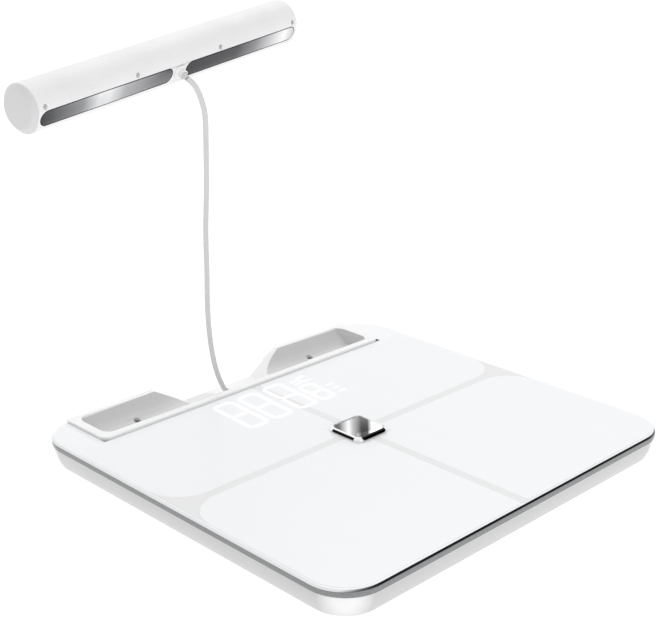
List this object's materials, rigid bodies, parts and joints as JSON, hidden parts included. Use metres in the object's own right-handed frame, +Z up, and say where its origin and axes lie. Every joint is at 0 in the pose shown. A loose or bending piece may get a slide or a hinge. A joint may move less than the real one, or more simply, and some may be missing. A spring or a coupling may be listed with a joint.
{
  "type": "digital bathroom scale",
  "caption": "Glass-topped digital body composition scale with foot electrode areas and a hand electrode bar lifted on its pull-out cord from a cradle at the rear.",
  "frame": {"origin": "middle of the glass platform, on the floor that the feet stand on", "axes": "+X to the right along the cradle, +Y to the rear where the cradle is, +Z up out of the glass"},
  "size_m": [0.3238, 0.2836, 0.2768],
  "materials": {
    "back_printed_glass": "tempered glass printed white underneath, polished edge",
    "conductive_coat": "clear conductive film over white glass",
    "glass_print": "light grey print under gloss",
    "foam_tape": "matt acrylic foam tape",
    "polished_chrome": "polished plate",
    "satin_chrome": "satin plate",
    "pearl_abs": "satin pearl white moulding",
    "gloss_white_abs": "gloss white moulding",
    "matte_white_abs": "fine spark-eroded white moulding",
    "grey_white_abs": "matt off-white moulding",
    "grey_abs": "matt light grey moulding",
    "black_abs": "matt black moulding",
    "natural_pom": "natural acetal",
    "soft_pvc": "satin light grey soft jacket",
    "zinc_steel": "zinc plated",
    "spring_steel": "nickel plated spring steel",
    "green_laminate": "solder mask",
    "lit_white": "white light guides",
    "battery_jacket": "printed jacket",
    "grey_rubber": "matt rubber"
  },
  "bodies": {
    "platform": {"glass_platform": "back_printed_glass", "glass_tape": "foam_tape", "coat_front_left": "conductive_coat", "coat_front_right": "conductive_coat", "coat_rear_left": "conductive_coat", "coat_rear_right": "conductive_coat", "cross_print": "glass_print", "emblem_frame": "polished_chrome", "emblem_plate": "satin_chrome", "base_shell": "pearl_abs", "handle_cradle": "gloss_white_abs", "cradle_screws": "zinc_steel", "cord_grommet": "soft_pvc", "inner_cord": "soft_pvc", "handle_cord": "soft_pvc", "reel_housing": "black_abs", "reel_axle": "zinc_steel", "reel_cover": "black_abs", "reel_screws": "zinc_steel", "display_board": "green_laminate", "display_mask": "gloss_white_abs", "display_digits": "lit_white", "main_board": "green_laminate", "main_chip": "black_abs", "unit_switch": "black_abs", "board_screws": "zinc_steel", "battery_box": "grey_abs", "battery_cells": "battery_jacket", "battery_springs": "spring_steel", "battery_plates": "spring_steel", "load_cell_front_left": "spring_steel", "load_cell_front_right": "spring_steel", "load_cell_rear_left": "spring_steel", "load_cell_rear_right": "spring_steel", "cell_screws": "zinc_steel"},
    "drum": {"reel_drum": "natural_pom", "reel_spring": "spring_steel", "cord_coil": "soft_pvc"},
    "cord_ferrule": {"cord_end": "soft_pvc"},
    "hand_bar": {"cord_boot": "soft_pvc", "bar_upper": "matte_white_abs", "bar_lower": "matte_white_abs", "bar_cap_left": "grey_white_abs", "bar_cap_right": "grey_white_abs", "hand_plate_left": "polished_chrome", "hand_plate_right": "polished_chrome", "bar_board": "green_laminate", "bar_springs": "spring_steel", "bar_screws": "grey_abs"},
    "battery_hatch": {"battery_door": "pearl_abs"},
    "unit_key": {"unit_button": "grey_abs"},
    "foot_front_left": {"foot_cup_front_left": "grey_abs", "foot_pad_front_left": "grey_rubber"},
    "foot_front_right": {"foot_cup_front_right": "grey_abs", "foot_pad_front_right": "grey_rubber"},
    "foot_rear_left": {"foot_cup_rear_left": "grey_abs", "foot_pad_rear_left": "grey_rubber"},
    "foot_rear_right": {"foot_cup_rear_right": "grey_abs", "foot_pad_rear_right": "grey_rubber"}
  },
  "joints": [
    {"name": "handle_lift", "type": "slide", "parent": "platform", "child": "cord_ferrule", "axis": [-0.2243, -0.0466, 0.9734], "range_m": [-0.23628, 0], "deforming": ["handle_cord"]},
    {"name": "handle_turn", "type": "hinge", "parent": "cord_ferrule", "child": "hand_bar", "pos_m": [-0.053, 0.09605, 0.244], "axis": [-0.8913, -0.3105, 0.3305], "range_deg": [-22.32, 0]},
    {"name": "drum_spin", "type": "hinge", "parent": "platform", "child": "drum", "pos_m": [0.03, 0, 0.0106], "axis": [0, 0, 1], "range_deg": [0, 452]},
    {"name": "battery_door_open", "type": "hinge", "parent": "platform", "child": "battery_hatch", "pos_m": [0.048, -0.05675, 0.0043], "axis": [1, 0, 0], "range_deg": [0, 80]},
    {"name": "unit_button_press", "type": "slide", "parent": "platform", "child": "unit_key", "axis": [0, 0, 1], "range_m": [0, 0.0012], "stiffness_N_per_m": 800},
    {"name": "foot_front_left_press", "type": "slide", "parent": "platform", "child": "foot_front_left", "axis": [0, 0, 1], "range_m": [0, 0.0005], "stiffness_N_per_m": 8000, "springref_m": -0.0006},
    {"name": "foot_front_right_press", "type": "slide", "parent": "platform", "child": "foot_front_right", "axis": [0, 0, 1], "range_m": [0, 0.0005], "stiffness_N_per_m": 8000, "springref_m": -0.0006},
    {"name": "foot_rear_left_press", "type": "slide", "parent": "platform", "child": "foot_rear_left", "axis": [0, 0, 1], "range_m": [0, 0.0005], "stiffness_N_per_m": 8000, "springref_m": -0.0006},
    {"name": "foot_rear_right_press", "type": "slide", "parent": "platform", "child": "foot_rear_right", "axis": [0, 0, 1], "range_m": [0, 0.0005], "stiffness_N_per_m": 8000, "springref_m": -0.0006}
  ],
  "couplings": [
    {"joint": "handle_turn", "follows": "handle_lift", "rad_per_m": 1.6472},
    {"joint": "drum_spin", "follows": "handle_lift", "rad_per_m": -33.333}
  ]
}
